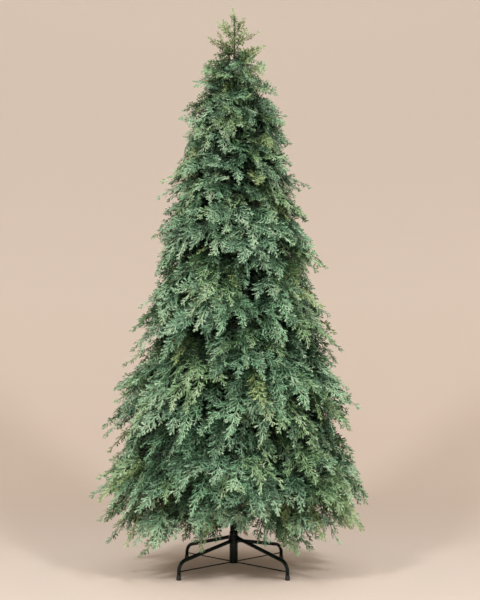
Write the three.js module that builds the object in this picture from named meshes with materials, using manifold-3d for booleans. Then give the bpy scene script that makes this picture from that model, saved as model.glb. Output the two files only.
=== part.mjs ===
// An artificial cypress tree on a folding four-legged steel stand.
// Millimetres, +Z up. The origin is on the floor under the pole, and the front of the tree faces -Y.
import * as THREE from "three";
import { mergeVertices } from "three/addons/utils/BufferGeometryUtils.js";
import Module from "manifold-3d";

// Driving dimensions of the crown
const TREE_HEIGHT = 2100;
const CROWN_RADIUS = 467;
const WIDEST_AT = 260;
const CROWN_FULLNESS = 0.72;
const HEM_HEIGHT = 100;
const HEM_TUCK = 0.3;
const WAIST = { depth: 0.07, at: 880, spread: 210 };
const LOWEST_DROOP = THREE.MathUtils.degToRad(35);
const TOPMOST_DROOP = THREE.MathUtils.degToRad(8);

// The crown is seven tiers of foliage round the pole, with a leader on top.
const TIER_MASSES = [7, 7, 6, 5, 4, 4, 3];
const LOWEST_TIER_HEIGHT = 312;
const TIER_HEIGHT_STEP = 20;
const TIER_TWIST = 0.382;
const MASS_GAP = 4;
const SEED = 13;

// The dense core of a mass, as shares of the mass's space, and how far its sprays stand out of it
const CORE = { halfWidth: 0.47, halfHeight: 0.47, inset: 0.06, fullness: 0.65 };
const LOWEST_STANDOUT = 80;
const TOPMOST_STANDOUT = 50;

// Sprays are toothed blades on stalks, in rows and columns over the outside of a mass.
const SPRAY_ROWS = 3;
const SPRAY_COLUMNS = [4, 3, 3, 3, 3, 3, 3];
const ROW_SPAN = { low: 0.04, high: 0.82 };
const COLUMN_SPAN = 0.84;
const SPRAY_ROOT = { depth: 0.75, spread: 1.6, lift: 0.4, highest: 0.7 };
const SPRAY = { widths: [0.75, 0.6, 0.45], thickness: 0.03, arch: 0.06, midrib: 0.58 };

// Half of a spray's outline, as shares of its length and width: the stalk, then notches and teeth
const SPRAY_HALF = [
  [0, 0.03],
  [0.26, 0.08],
  [0.54, 0.5],
  [0.6, 0.17],
  [0.84, 0.34],
  [0.84, 0.09],
];

// Driving dimensions of the pole, the boughs and stems on it, and the leader
const POLE_SECTIONS = [
  { radius: 12.7, top: 800 },
  { radius: 10.8, top: 1400 },
  { radius: 8.9, top: 1850 },
];
const POLE_CHAMFER = 1.5;
const BOUGH = { startRadius: 4.8, endRadius: 4, height: 490, rise: 16, reach: 110, sides: 8, steps: 4 };
const STEM = { startRadius: 4, endRadius: 2, foot: 0.3, reach: 0.7, sides: 4, steps: 3 };
const LEADER = { startRadius: 5.5, endRadius: 2, sides: 5, whorls: 4, spraysEach: 3 };
const LEADER_SPRAY = { lowest: 125, topmost: 60, width: 0.5, lowestLift: 0.35, topmostLift: 0.95 };
const CREST = { length: 96, stemShare: 0.6, facing: -1.9 };

// Driving dimensions of the stand
const FOOT_SPACING = 344;
const FOOT = { height: 16, topRadius: 6.8, baseRadius: 8, chamfer: 1.2 };
const LEG = { radius: 6, bend: 32, bendHeight: 26, sides: 8, bendSteps: 3 };
const SOCKET = { radius: 14.3, bottom: 21, top: 124, seat: 32 };
const COLLAR = { radius: 18.5, height: 10, lowerAt: 92, upperAt: 104 };
const BRACE = { radius: 2, height: 25, sides: 6 };
const SEATING_GAP = 0.3;

const FULL_TURN = 2 * Math.PI;
const ROUND_SEGMENTS = 16;
const { lerp, clamp } = THREE.MathUtils;

const wasm = await Module();
wasm.setup();

const surface = (color, roughness, metalness) =>
  new THREE.MeshStandardMaterial({ color, roughness, metalness });
const FOLIAGE = surface(0x6f8f6a, 0.65, 0);
const BOUGH_WRAP = surface(0x2c3a24, 0.7, 0);
const DARK_GREEN_STEEL = surface(0x1d2a28, 0.4, 0.3);
const BLACK_RUBBER = surface(0x161817, 0.8, 0);

// Seeded chance between 0 and 1 that depends only on its keys.
function chance(...keys) {
  const steps = [12.9898, 78.233, 37.719, 94.673];
  const mixed = keys.reduce((sum, key, i) => sum + (key + 1) * steps[i], SEED);
  const wave = Math.sin(mixed) * 43758.5453;
  return wave - Math.floor(wave);
}

const between = (low, high, ...keys) => lerp(low, high, chance(...keys));

// A point at a distance from the pole's axis, a turn round it and a height.
const around = (radius, turn, height) =>
  new THREE.Vector3(radius * Math.cos(turn), radius * Math.sin(turn), height);

// How far the crown reaches from the axis at a height.
function crownRadius(height) {
  if (height < WIDEST_AT) {
    const below = (WIDEST_AT - height) / (WIDEST_AT - HEM_HEIGHT);
    return CROWN_RADIUS * (1 - HEM_TUCK * below ** 2);
  }
  const climbed = Math.min((height - WIDEST_AT) / (TREE_HEIGHT - WIDEST_AT), 1);
  const waist = WAIST.depth * Math.exp(-(((height - WAIST.at) / WAIST.spread) ** 2));
  return CROWN_RADIUS * (1 - climbed) ** CROWN_FULLNESS * (1 - waist);
}

// How steeply the foliage hangs outwards at a height. Near the top it is almost level.
const droopAngle = (height) =>
  lerp(LOWEST_DROOP, TOPMOST_DROOP, clamp(height / TREE_HEIGHT, 0, 1) ** 3);

// The height, at the crown's outside, where a tier begins. The last one begins the leader.
function tierFloor(tier) {
  const stepsBelow = (tier * (tier - 1)) / 2;
  return HEM_HEIGHT + tier * LOWEST_TIER_HEIGHT - stepsBelow * TIER_HEIGHT_STEP;
}

// The slanting surface between a tier and the one below it, as a height at a radius.
function tierBoundary(tier, radius) {
  if (tier === 0) {
    return HEM_HEIGHT;
  }
  const floor = tierFloor(tier);
  return floor + Math.tan(droopAngle(floor)) * (crownRadius(floor) - radius);
}

// A height in a tier at a radius, as a share of the way from its floor to its ceiling.
const heightIn = (tier, radius, share) =>
  lerp(tierBoundary(tier, radius), tierBoundary(tier + 1, radius), share);

const poleRadiusAt = (height) => POLE_SECTIONS.find((section) => height < section.top).radius;

function geometryFrom(points, triangles) {
  const geometry = new THREE.BufferGeometry().setFromPoints(points);
  geometry.setIndex(triangles);
  geometry.computeVertexNormals();
  return geometry;
}

function solidOf(geometry) {
  const bare = geometry.clone();
  bare.deleteAttribute("normal");
  bare.deleteAttribute("uv");
  const merged = mergeVertices(bare, 1e-3);
  const mesh = new wasm.Mesh({
    numProp: 3,
    vertProperties: new Float32Array(merged.getAttribute("position").array),
    triVerts: new Uint32Array(merged.index.array),
  });
  return new wasm.Manifold(mesh);
}

// Pieces joined into one solid. Hollows that this seals inside it are filled.
function fuse(geometries) {
  const joined = geometries.map(solidOf).reduce((whole, piece) => whole.add(piece));
  const skins = joined.decompose();
  const outside = skins.reduce((largest, skin) => (skin.volume() > largest.volume() ? skin : largest));
  const { vertProperties, triVerts } = outside.getMesh();
  const geometry = new THREE.BufferGeometry();
  geometry.setAttribute("position", new THREE.BufferAttribute(vertProperties, 3));
  geometry.setIndex(new THREE.BufferAttribute(triVerts, 1));
  geometry.computeVertexNormals();
  return geometry;
}

// Where a limb passes and which way it heads there, at even steps along a curve or at given points.
const alongCurve = (curve, steps) =>
  Array.from({ length: steps + 1 }, (_, step) => ({
    place: curve.getPoint(step / steps),
    heading: curve.getTangent(step / steps),
  }));

const alongPoints = (points) =>
  points.map((place, i) => ({
    place,
    heading: (points[i + 1] ?? place).clone().sub(points[i - 1] ?? place).normalize(),
  }));

// A limb in the upright plane at one turn round the pole, where x is the distance and y the height.
// It tapers evenly from its first place to its last and has flat ends.
function radialLimb(turn, course, startRadius, endRadius, sides) {
  const aside = around(1, turn + Math.PI / 2, 0);
  const points = [];
  const triangles = [];
  const last = (course.length - 1) * sides;
  course.forEach(({ place, heading }, step) => {
    const across = around(-heading.y, turn, heading.x);
    const radius = lerp(startRadius, endRadius, step / (course.length - 1));
    for (let side = 0; side < sides; side++) {
      const sideTurn = (side * FULL_TURN) / sides;
      const corner = around(place.x, turn, place.y);
      corner.addScaledVector(across, radius * Math.cos(sideTurn));
      points.push(corner.addScaledVector(aside, radius * Math.sin(sideTurn)));
    }
  });
  for (let side = 0; side < sides; side++) {
    const next = (side + 1) % sides;
    for (let ring = 0; ring < last; ring += sides) {
      const above = ring + sides;
      triangles.push(ring + side, above + next, ring + next);
      triangles.push(ring + side, above + side, above + next);
    }
    if (side > 0 && next > 0) {
      triangles.push(0, side, next, last, last + next, last + side);
    }
  }
  return geometryFrom(points, triangles);
}

// A round piece turned about the pole's axis from a profile of distances and heights.
const turned = (profile) =>
  new THREE.LatheGeometry(
    profile.map(([radius, height]) => new THREE.Vector2(radius, height)),
    ROUND_SEGMENTS,
  ).rotateX(Math.PI / 2);

// The corners of a spray: its arched outline, then the top and the underside of its midrib.
function sprayCorners(root, tip, facing, width) {
  const along = tip.clone().sub(root);
  const length = along.length();
  const across = new THREE.Vector3().crossVectors(facing, along).normalize();
  const outwards = new THREE.Vector3().crossVectors(along, across).normalize();
  const arch = (share) => 4 * SPRAY.arch * share * (1 - share);
  const place = (share, aside, lift) => {
    const point = root.clone().addScaledVector(along, share);
    point.addScaledVector(across, aside * length * width);
    return point.addScaledVector(outwards, lift * length);
  };
  const left = SPRAY_HALF.map(([share, aside]) => place(share, aside, arch(share)));
  const right = SPRAY_HALF.map(([share, aside]) => place(share, -aside, arch(share)));
  const ridge = arch(SPRAY.midrib) + SPRAY.thickness / 2;
  const top = place(SPRAY.midrib, 0, ridge);
  const underside = place(SPRAY.midrib, 0, ridge - SPRAY.thickness);
  return [...right, tip, ...left.reverse(), top, underside];
}

// A closed blade: a fan of triangles over the outline and another under it.
function sprayBlade(corners) {
  const top = corners.length - 2;
  const underside = corners.length - 1;
  const triangles = [];
  for (let corner = 0; corner < top; corner++) {
    const next = (corner + 1) % top;
    triangles.push(corner, next, top, next, corner, underside);
  }
  return geometryFrom(corners, triangles);
}

// The space of one mass: a sector of a tier between two slanting surfaces, clear of its neighbours.
function massSpace(tier, sector) {
  const width = FULL_TURN / TIER_MASSES[tier];
  const turn = (sector + TIER_TWIST * tier) * width - Math.PI / 2;
  const middle = crownRadius(lerp(tierFloor(tier), tierFloor(tier + 1), 0.5));
  const foot = heightIn(tier, 0, STEM.foot);
  const innerRadius = tier === 0 ? BOUGH.reach : poleRadiusAt(foot);
  const coreNear = innerRadius + CORE.inset * middle;
  const coreFar = middle - lerp(LOWEST_STANDOUT, TOPMOST_STANDOUT, tier / TIER_MASSES.length);
  return { tier, sector, width, turn, middle, foot, innerRadius, coreNear, coreFar };
}

function holds({ tier, width, turn, innerRadius }, point) {
  const radius = Math.hypot(point.x, point.y);
  const off = Math.atan2(point.y, point.x) - turn;
  const sideRoom = radius * (Math.cos(off) * Math.tan(width / 2) - Math.abs(Math.sin(off)));
  return (
    Math.cos(off) > 0 &&
    sideRoom > MASS_GAP &&
    radius > innerRadius + MASS_GAP &&
    point.z > tierBoundary(tier, radius) + MASS_GAP &&
    point.z < tierBoundary(tier + 1, radius) - MASS_GAP
  );
}

// A place in or on the core of a mass, from a direction out of its middle (outwards, sideways and
// upwards, of length 1) and a depth, where 1 is the core's skin and 0 its middle.
function corePlace(space, outwards, sideways, upwards, depth = 1) {
  const { tier, width, turn, middle, coreNear, coreFar } = space;
  const swell = (share) => depth * Math.sign(share) * Math.abs(share) ** CORE.fullness;
  const rise = 0.5 + CORE.halfHeight * swell(upwards);
  const taper = crownRadius(heightIn(tier, middle, rise)) / middle;
  const radius = lerp(coreNear, taper * coreFar, 0.5 + 0.5 * swell(outwards));
  const sideTurn = turn + CORE.halfWidth * width * swell(sideways);
  return around(radius, sideTurn, heightIn(tier, radius, rise));
}

// The dense middle of a mass: a faceted lump that follows the slant of its space.
function massCore(space) {
  const core = new THREE.OctahedronGeometry(1, 1);
  const position = core.getAttribute("position");
  for (let i = 0; i < position.count; i++) {
    const place = corePlace(space, position.getX(i), position.getY(i), position.getZ(i));
    position.setXYZ(i, place.x, place.y, place.z);
  }
  return core;
}

// The stem of a mass, arching out into its core from its bough's tip or from the pole.
function massStem({ tier, turn, middle, foot, innerRadius }) {
  const startHeight = tier === 0 ? BOUGH.height + BOUGH.rise : foot;
  const reach = STEM.reach * middle;
  const curve = new THREE.QuadraticBezierCurve(
    new THREE.Vector2(innerRadius + SEATING_GAP, startHeight),
    new THREE.Vector2(lerp(innerRadius, reach, 0.5), startHeight),
    new THREE.Vector2(reach, heightIn(tier, reach, 0.5)),
  );
  const course = alongCurve(curve, STEM.steps);
  return radialLimb(turn, course, STEM.startRadius, STEM.endRadius, STEM.sides);
}

// Where one spray of a mass grows: its tip on the crown's outside, its root sunk in the core and
// the way its face is turned. Tips in the hem hang a little further in.
function sprayPlace(space, row, column) {
  const { tier, sector, width, turn } = space;
  const columns = SPRAY_COLUMNS[tier];
  const draw = (low, high, key) => between(low, high, tier, sector, row * columns + column, key);
  const rise = lerp(ROW_SPAN.low, ROW_SPAN.high, (row + draw(0.2, 0.8, 1)) / SPRAY_ROWS);
  const stagger = row % 2 ? 0.75 : 0.25;
  const aside = COLUMN_SPAN * ((column + stagger + draw(-0.2, 0.2, 2)) / columns - 0.5);
  const height = lerp(tierFloor(tier), tierFloor(tier + 1), rise);
  const inHem = tier === 0 && row === 0;
  const reach = crownRadius(height) * (inHem ? draw(0.85, 1, 3) : draw(0.96, 1.02, 3));
  const sideways = SPRAY_ROOT.spread * aside;
  const upwards = Math.min(SPRAY_ROOT.spread * (rise - 0.5) + SPRAY_ROOT.lift, SPRAY_ROOT.highest);
  const outwards = Math.sqrt(1 - sideways ** 2 - upwards ** 2);
  return {
    tip: around(reach, turn + aside * width, height),
    root: corePlace(space, outwards, sideways, upwards, SPRAY_ROOT.depth),
    facing: around(1, turn + aside * width + draw(-0.6, 0.6, 4), 0.8),
  };
}

// The sprays of a mass, each as wide as its space allows. One that fits at no width is left out.
function massSprays(space) {
  const sprays = [];
  for (let row = 0; row < SPRAY_ROWS; row++) {
    for (let column = 0; column < SPRAY_COLUMNS[space.tier]; column++) {
      const { root, tip, facing } = sprayPlace(space, row, column);
      const fitting = SPRAY.widths
        .map((width) => sprayCorners(root, tip, facing, width))
        .find((corners) => corners.every((corner) => holds(space, corner)));
      if (fitting) {
        sprays.push(sprayBlade(fitting));
      }
    }
  }
  return sprays;
}

// The leader: a straight stem on the pole's top with whorls of lifted sprays and one upright spray.
function leader() {
  const foot = POLE_SECTIONS.at(-1).top + SEATING_GAP;
  const stemTop = TREE_HEIGHT - (1 - CREST.stemShare) * CREST.length;
  const lowestWhorl = tierBoundary(TIER_MASSES.length, 0) + MASS_GAP;
  const course = alongPoints([new THREE.Vector2(0, foot), new THREE.Vector2(0, stemTop)]);
  const pieces = [radialLimb(0, course, LEADER.startRadius, LEADER.endRadius, LEADER.sides)];
  for (let whorl = 0; whorl < LEADER.whorls; whorl++) {
    const climbed = whorl / LEADER.whorls;
    const root = around(0, 0, lerp(lowestWhorl, stemTop, climbed));
    const length = lerp(LEADER_SPRAY.lowest, LEADER_SPRAY.topmost, climbed);
    for (let spray = 0; spray < LEADER.spraysEach; spray++) {
      const turn = ((spray + 0.5 * whorl) * FULL_TURN) / LEADER.spraysEach;
      const lift = lerp(LEADER_SPRAY.lowestLift, LEADER_SPRAY.topmostLift, climbed);
      const tip = around(length * Math.cos(lift), turn, length * Math.sin(lift)).add(root);
      const facing = around(1, turn + between(-0.5, 0.5, whorl, spray), 1.5);
      pieces.push(sprayBlade(sprayCorners(root, tip, facing, LEADER_SPRAY.width)));
    }
  }
  const crestRoot = around(0, 0, TREE_HEIGHT - CREST.length);
  const crestTip = around(0, 0, TREE_HEIGHT);
  const crest = sprayCorners(crestRoot, crestTip, around(1, CREST.facing, 0), LEADER_SPRAY.width);
  pieces.push(sprayBlade(crest));
  return fuse(pieces);
}

const tree = new THREE.Group();

function addPiece(name, geometry, material) {
  const mesh = new THREE.Mesh(geometry, material);
  mesh.name = name;
  tree.add(mesh);
  return mesh;
}

// The stand: a socket that holds the pole, two collars with two legs each, and a brace to each leg
const innerWall = POLE_SECTIONS[0].radius + SEATING_GAP;
const socketProfile = [
  [0, SOCKET.bottom],
  [SOCKET.radius, SOCKET.bottom],
  [SOCKET.radius, SOCKET.top],
  [innerWall, SOCKET.top],
  [innerWall, SOCKET.seat - SEATING_GAP],
  [0, SOCKET.seat - SEATING_GAP],
];
addPiece("stand_socket", turned(socketProfile), DARK_GREEN_STEEL);

function collar(middleHeight) {
  const bore = SOCKET.radius + SEATING_GAP;
  const low = middleHeight - COLLAR.height / 2;
  const high = middleHeight + COLLAR.height / 2;
  return turned([
    [bore, low],
    [COLLAR.radius, low],
    [COLLAR.radius, high],
    [bore, high],
    [bore, low],
  ]);
}
addPiece("stand_collar_lower", collar(COLLAR.lowerAt), DARK_GREEN_STEEL);
addPiece("stand_collar_upper", collar(COLLAR.upperAt), DARK_GREEN_STEEL);

// A leg slopes down from its collar, then bends to stand upright in its foot.
function legCourse(hubHeight, footRadius) {
  const bendCentre = footRadius - LEG.bend;
  const hub = COLLAR.radius + 0.25 * LEG.radius + SEATING_GAP;
  const away = Math.hypot(bendCentre - hub, hubHeight - LEG.bendHeight);
  const slope =
    Math.atan2(hubHeight - LEG.bendHeight, bendCentre - hub) - Math.asin(LEG.bend / away);
  const path = new THREE.Path();
  path.moveTo(hub, hubHeight);
  path.lineTo(bendCentre + LEG.bend * Math.sin(slope), LEG.bendHeight + LEG.bend * Math.cos(slope));
  path.absarc(bendCentre, LEG.bendHeight, LEG.bend, Math.PI / 2 - slope, 0, true);
  path.lineTo(footRadius, FOOT.height + SEATING_GAP);
  return alongPoints(path.getPoints(LEG.bendSteps));
}

const footProfile = [
  [0, 0],
  [FOOT.baseRadius - FOOT.chamfer, 0],
  [FOOT.baseRadius, FOOT.chamfer],
  [FOOT.topRadius, FOOT.height],
  [0, FOOT.height],
];
["front_left", "front_right", "back_right", "back_left"].forEach((corner, i) => {
  const turn = ((2 * i - 3) * Math.PI) / 4;
  const footRadius = FOOT_SPACING / Math.SQRT2;
  const course = legCourse(i % 2 ? COLLAR.upperAt : COLLAR.lowerAt, footRadius);
  const legTube = radialLimb(turn, course, LEG.radius, LEG.radius, LEG.sides);
  addPiece(`stand_leg_${corner}`, legTube, DARK_GREEN_STEEL);
  const foot = addPiece(`stand_foot_${corner}`, turned(footProfile), BLACK_RUBBER);
  foot.position.copy(around(footRadius, turn, 0));
  const braceCourse = alongPoints([
    new THREE.Vector2(SOCKET.radius + SEATING_GAP, BRACE.height),
    new THREE.Vector2(footRadius - LEG.radius - SEATING_GAP, BRACE.height),
  ]);
  const brace = radialLimb(turn, braceCourse, BRACE.radius, BRACE.radius, BRACE.sides);
  addPiece(`stand_brace_${corner}`, brace, DARK_GREEN_STEEL);
});

// The pole: one stepped tube from the socket to the foot of the leader
const poleProfile = [
  [0, SOCKET.seat],
  [POLE_SECTIONS[0].radius - POLE_CHAMFER, SOCKET.seat],
  [POLE_SECTIONS[0].radius, SOCKET.seat + POLE_CHAMFER],
];
POLE_SECTIONS.forEach(({ radius, top }, i) => {
  const above = POLE_SECTIONS[i + 1];
  poleProfile.push([radius, top - POLE_CHAMFER], [radius - POLE_CHAMFER, top]);
  poleProfile.push([above ? above.radius : 0, top]);
});
addPiece("trunk_pole", turned(poleProfile), DARK_GREEN_STEEL);

// The lowest boughs, then the masses of foliage, tier by tier, and the leader
for (let sector = 0; sector < TIER_MASSES[0]; sector++) {
  const { turn, innerRadius } = massSpace(0, sector);
  const curve = new THREE.CubicBezierCurve(
    new THREE.Vector2(POLE_SECTIONS[0].radius + SEATING_GAP, BOUGH.height),
    new THREE.Vector2(0.5 * innerRadius, BOUGH.height),
    new THREE.Vector2(0.6 * innerRadius, BOUGH.height + BOUGH.rise),
    new THREE.Vector2(innerRadius, BOUGH.height + BOUGH.rise),
  );
  const course = alongCurve(curve, BOUGH.steps);
  const limb = radialLimb(turn, course, BOUGH.startRadius, BOUGH.endRadius, BOUGH.sides);
  addPiece(`bough_${sector + 1}`, limb, BOUGH_WRAP);
}
TIER_MASSES.forEach((count, tier) => {
  for (let sector = 0; sector < count; sector++) {
    const space = massSpace(tier, sector);
    const mass = fuse([massStem(space), massCore(space), ...massSprays(space)]);
    addPiece(`foliage_tier_${tier + 1}_mass_${sector + 1}`, mass, FOLIAGE);
  }
});
addPiece("foliage_leader", leader(), FOLIAGE);

export default tree;
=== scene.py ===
"""An artificial cypress tree on a folding steel stand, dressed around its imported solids."""

import math

import bpy
import numpy as np
from bpy.props import FloatProperty, FloatVectorProperty, IntProperty, PointerProperty
from mathutils import Matrix, Vector


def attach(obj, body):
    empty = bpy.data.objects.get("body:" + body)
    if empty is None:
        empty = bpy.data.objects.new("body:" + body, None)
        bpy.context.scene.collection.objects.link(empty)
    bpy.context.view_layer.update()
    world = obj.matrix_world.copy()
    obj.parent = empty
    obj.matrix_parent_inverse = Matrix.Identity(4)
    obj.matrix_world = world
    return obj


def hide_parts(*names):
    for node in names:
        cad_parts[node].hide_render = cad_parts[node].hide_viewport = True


bl_info = {
    "name": "Cypress Tree on a Stand",
    "version": (1, 0, 0),
    "blender": (4, 5, 0),
    "location": "3D View > Sidebar > Cypress",
    "description": "Grows lacy sprays on the limbs of an artificial cypress tree and finishes its stand",
    "category": "Add Mesh",
}

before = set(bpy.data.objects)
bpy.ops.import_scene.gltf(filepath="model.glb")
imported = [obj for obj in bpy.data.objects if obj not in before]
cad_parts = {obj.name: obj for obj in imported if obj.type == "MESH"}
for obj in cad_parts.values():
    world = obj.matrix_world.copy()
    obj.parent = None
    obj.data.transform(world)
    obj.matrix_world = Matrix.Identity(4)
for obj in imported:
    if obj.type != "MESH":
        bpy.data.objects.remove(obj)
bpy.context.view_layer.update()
BODY = "root"
NODES = sorted(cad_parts)
FOLIAGE_NODES = [node for node in NODES if node.startswith("foliage")]
BOUGH_NODES = [node for node in NODES if node.startswith("bough")]

# The crown's rule, in metres, as the solids have it
TREE_HEIGHT = 2.1
CROWN_RADIUS = 0.467
WIDEST_AT = 0.26
CROWN_FULLNESS = 0.72
HEM_HEIGHT = 0.1
HEM_TUCK = 0.3
WAIST_DEPTH, WAIST_AT, WAIST_SPREAD = 0.07, 0.88, 0.21
LOWEST_DROOP = math.radians(35)
TOPMOST_DROOP = math.radians(8)
TIER_MASSES = [7, 7, 6, 5, 4, 4, 3]
LOWEST_TIER_HEIGHT = 0.312
TIER_HEIGHT_STEP = 0.02
TIER_TWIST = 0.382
MASS_GAP = 0.004
SEED = 13
CORE_HALF_WIDTH, CORE_HALF_HEIGHT, CORE_INSET, CORE_FULLNESS = 0.47, 0.47, 0.06, 0.65
LOWEST_STANDOUT = 0.08
TOPMOST_STANDOUT = 0.05
SPRAY_ROWS = 3
SPRAY_COLUMNS = [4, 3, 3, 3, 3, 3, 3]
ROW_LOW, ROW_HIGH = 0.04, 0.82
COLUMN_SPAN = 0.84
ROOT_DEPTH, ROOT_SPREAD, ROOT_LIFT, ROOT_HIGHEST = 0.75, 1.6, 0.4, 0.7
POLE_SECTIONS = [(0.0127, 0.8), (0.0108, 1.4), (0.0089, 1.85)]
POLE_CHAMFER = 0.0015
BOUGH_HEIGHT, BOUGH_RISE, BOUGH_REACH = 0.49, 0.016, 0.11
BOUGH_START_RADIUS, BOUGH_END_RADIUS = 0.0048, 0.004
STEM_FOOT, STEM_REACH = 0.3, 0.7
STEM_START_RADIUS, STEM_END_RADIUS = 0.004, 0.002
LEADER_WHORLS, LEADER_SPRAYS = 4, 3
LEADER_START_RADIUS, LEADER_END_RADIUS = 0.0055, 0.002
LEADER_LOWEST, LEADER_TOPMOST = 0.125, 0.06
LEADER_LOWEST_LIFT, LEADER_TOPMOST_LIFT = 0.35, 0.95
CREST_LENGTH, CREST_STEM_SHARE, CREST_FACING = 0.096, 0.6, -1.9
SEATING_GAP = 0.0003

# The stand, in metres, as the solids have it
FOOT_SPACING, FOOT_HEIGHT = 0.344, 0.016
FOOT_RADIUS = FOOT_SPACING / math.sqrt(2)
LEG_RADIUS, LEG_BEND, LEG_BEND_HEIGHT = 0.006, 0.032, 0.026
SOCKET_RADIUS, SOCKET_BOTTOM, SOCKET_TOP, SOCKET_SEAT = 0.0143, 0.021, 0.124, 0.032
COLLAR_RADIUS, COLLAR_HEIGHT = 0.0185, 0.01
COLLAR_LOWER_AT, COLLAR_UPPER_AT = 0.092, 0.104
BRACE_RADIUS, BRACE_HEIGHT = 0.002, 0.025
CORNERS = ["front_left", "front_right", "back_right", "back_left"]
FOOT_PROFILE = [
    (0, 0), (0.0066, 0), (0.0074, 0.0003), (0.0079, 0.001), (0.008, 0.0022), (0.0079, 0.0036),
    (0.0075, 0.0041), (0.0075, 0.0047), (0.0077, 0.0052), (0.0073, 0.0102), (0.0069, 0.0106),
    (0.0069, 0.0112), (0.0071, 0.0117), (0.0069, 0.0148), (0.0066, 0.0157), (0.0063, 0.016), (0, 0.016),
]
# A groove and a rounded edge at the top of each pole section: in from its radius, down from its top
POLE_SECTION_TOP = [
    (0, 0.012), (0.0004, 0.0105), (0.0004, 0.009), (0, 0.0075), (0, POLE_CHAMFER), (0.0005, 0.0004),
    (POLE_CHAMFER, 0),
]
ROUNDED_EDGE = 0.0006

# Faces round and along the limbs and turned pieces
POLE_SEGMENTS, SOCKET_SEGMENTS, FOOT_SEGMENTS = 40, 48, 40
BOUGH_STEPS, BOUGH_SIDES, LEG_SIDES, BRACE_SIDES = 60, 16, 24, 12
LEG_STEPS, LEG_BEND_PLACES, BRACE_PLACES = 12, 15, 9

# Hues of the sprays. The share of blue-green is given for the foot and the top of the tree.
HUES = ("blue_green", "sage", "leaf_green", "olive")
BLUE_GREEN, SAGE, LEAF_GREEN, OLIVE = range(len(HUES))
BLUE_GREEN_SHARES, SAGE_SHARE = (0.4, 0.32), 0.38

# Fronds between the source's and inside them: rises in a tier, ranges of reach, lengths low and high up
FINER_RISES = (0.45, 0.87, 1.0)
INNER_RISES = (0.05, 0.3, 0.55, 0.8)
FINER_REACHES, INNER_REACHES = (0.8, 0.94), (0.62, 0.84)
FINER_LENGTHS = (0.165, 0.09)
# The source's fronds take the lightest tone. The finer and inner ones sit deeper in the crown and take darker
# tones: painted shade.
SOURCE_TONE, FINER_TONE, INNER_PAINTED_SHADE_TONE, LOWEST_INNER_PAINTED_SHADE_TONE = 0.5, 0.3, 0.08, 0.3
FULL_PITCH, SIDE_PITCH, INNER_PITCH = 0.0175, 0.0165, 0.02
TONE_CHANCE, FACE_CHANCE = 0.1, 0.5
SAGS, HANGING_LENGTHS = (-0.05, 0.03), (0.8, 1.04)

# What changes from the broad to the slim part of the crown, as pairs or for the slim part alone
SLIM_FROM, SLIM_RISE = 0.9, 0.8
LEAST_HANGS, MOST_HANGS = (0.1, -0.1), (0.4, 0.3)
BREADTHS = (1.05, 0.85)
# The slim crown's sprays are made lighter with painted light, because the lamps light their hanging faces
# less
SLIM_PAINTED_LIGHT, SLIM_FACING, SLIM_LONGER, SLIM_DROPS = 0.2, 0.1, 1.3, (0.5, 2.0)
OPEN_TOP, TOP_REACH = 1.66, 0.74

# Strays stand out level past their neighbours. The first three pairs are for the broad and the slim crown.
STRAY_SHARES, STRAY_LEVELS, STRAY_BREADTHS = (0.33, 0.48), (0.3, 0.8), (0.92, 1.12)
STRAY_LENGTHS, STRAY_DARKER, STRAY_OLIVE_SHARE = (1.06, 1.24), 0.25, 0.15

# Sprays on a frond's sides
SIDE_STARTS, SIDE_ANGLES, SIDE_LENGTHS = (0.05, 0.35), (30, 52), (0.55, 0.82)
SIDE_DARKER, SAME_HUE_SHARE = 0.2, 0.8

# How far past the crown's radius a spray may reach at some heights, and how short it may be cut for that
PAST_HEIGHTS = (0.1, 0.2, 0.3, 0.5, 0.8, 1.8)
PAST_CROWN = (0.08, 0.02, 0.004, 0.02, 0.022, 0.05)
SHORTEST_CUT = 0.6

# The hem is lifted in front, where the stand shows, and stands out to both sides.
HEM_DEPTH = 0.09
HEM_FRONT_LIFT, HEM_FRONT_SPREAD, HEM_FALL, HEM_SIDE_STANDOUT = 0.085, 0.4, 0.01, 0.14
HEM_FACING, HEM_HANG, HEM_BREADTH, HEM_STRAY_SHARE, HEM_OLIVE_SHARE = 0.25, 0.1, 1.25, 0.5, 0.25

# The leader's sprays, the fronds round its foot, the sprigs on its stem and its crest
LEADER_PITCH, LEADER_REACH, LEADER_BREADTH, LEADER_TONE = 0.0125, 0.95, 0.8, 0.33
LEADER_DROP, LEADER_DROP_GROWTH, LEADER_LIFT_SHARE = 0.022, 1.3, 0.72
COLLAR_FRONDS, COLLAR_PITCH, COLLAR_TONE, COLLAR_HANG = 9, 0.012, 0.24, 0.2
SPRIGS, SPRIG_TONE, SPRIG_BREADTH = 8, 0.35, 0.4
CREST_GROWTH, CREST_TONE, CREST_BREADTH = 1.14, 0.28, 0.5

# Twigs: radius at the start and the end, sides, and whether tape is wound on them
FROND_TWIG = (0.0019, 0.0009, 5, False)
INNER_TWIG = (0.0016, 0.0008, 4, False)
LEADER_TWIG = (0.0011, 0.0008, 5, False)
STEM_TWIG = (STEM_START_RADIUS, STEM_END_RADIUS, 8, True)
LEADER_STEM = (LEADER_START_RADIUS, LEADER_END_RADIUS, 8, True)
STEM_STEPS, RIB_STEPS, TWIG_STEPS, LEAD_STEPS = 24, 12, 10, 6
FIRST_FORK, FORK_BACK, FORK_LEAD, ROOT_LEAD = 2, 6, 0.4, 3
INNER_TWIGS, BOUGH_TWIGS, BOUGH_SPRAYS = 12, 12, 4
BOUGH_TONE = 0.4

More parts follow.
